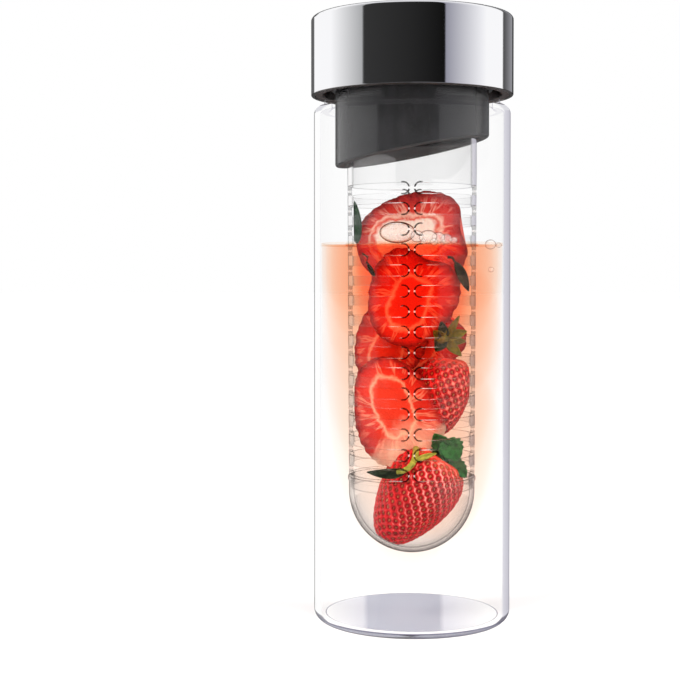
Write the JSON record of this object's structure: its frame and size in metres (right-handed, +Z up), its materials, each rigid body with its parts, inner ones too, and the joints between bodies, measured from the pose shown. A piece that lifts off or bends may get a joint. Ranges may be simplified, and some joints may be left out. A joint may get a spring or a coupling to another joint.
{
  "type": "fruit infuser water bottle",
  "caption": "Clear glass water bottle with a chrome screw cap, an oblique black stopper with silicone seals, and a slotted clear infuser tube with a round bowl hanging inside.",
  "frame": {"origin": "centre of the face that the bottle stands on", "axes": "+Z up along the bottle's axis to the cap; -X to the long side of the stopper's oblique plug; the picture looks along +Y"},
  "size_m": [0.072, 0.072, 0.215],
  "materials": {
    "clear_glass": "clear polished",
    "chrome": "mirror polished",
    "dark_plastic": "fine moulded",
    "silicone": "translucent white",
    "black_plastic": "satin moulded",
    "strainer_steel": "fine brushed",
    "clear_plastic": "clear gloss"
  },
  "bodies": {
    "bottle": {"glass_bottle": "clear_glass"},
    "stopper": {"stopper": "black_plastic", "rim_gasket": "silicone", "neck_seal_upper": "silicone", "neck_seal_lower": "silicone", "strainer": "strainer_steel"},
    "cap_seal": {"cap_gasket": "silicone"},
    "cap": {"cap_shell": "chrome", "cap_liner": "dark_plastic"},
    "infuser_ring": {"infuser_seal": "silicone"},
    "infuser": {"infuser_tube": "clear_plastic"},
    "bowl": {"infuser_bowl": "clear_plastic"}
  },
  "joints": [
    {"name": "stopper_lift", "type": "slide", "parent": "bottle", "child": "stopper", "axis": [0, 0, 1], "range_m": [0, 0.185]},
    {"name": "cap_rise", "type": "slide", "parent": "stopper", "child": "cap_seal", "axis": [0, 0, 1], "range_m": [0, 0.036]},
    {"name": "cap_turn", "type": "hinge", "parent": "cap_seal", "child": "cap", "pos_m": [0, 0, 0.2], "axis": [0, 0, 1], "range_deg": [0, 2160]},
    {"name": "infuser_drop", "type": "slide", "parent": "stopper", "child": "infuser_ring", "axis": [0, 0, -1], "range_m": [0, 0.009]},
    {"name": "infuser_turn", "type": "hinge", "parent": "infuser_ring", "child": "infuser", "pos_m": [0, 0, 0.17], "axis": [0, 0, -1], "range_deg": [0, 720]},
    {"name": "bowl_pull", "type": "slide", "parent": "infuser", "child": "bowl", "axis": [0, 0, -1], "range_m": [0, 0.0115]}
  ],
  "couplings": [
    {"joint": "cap_rise", "follows": "cap_turn", "m_per_rad": 0.000954},
    {"joint": "infuser_drop", "follows": "infuser_turn", "m_per_rad": 0.000716}
  ]
}
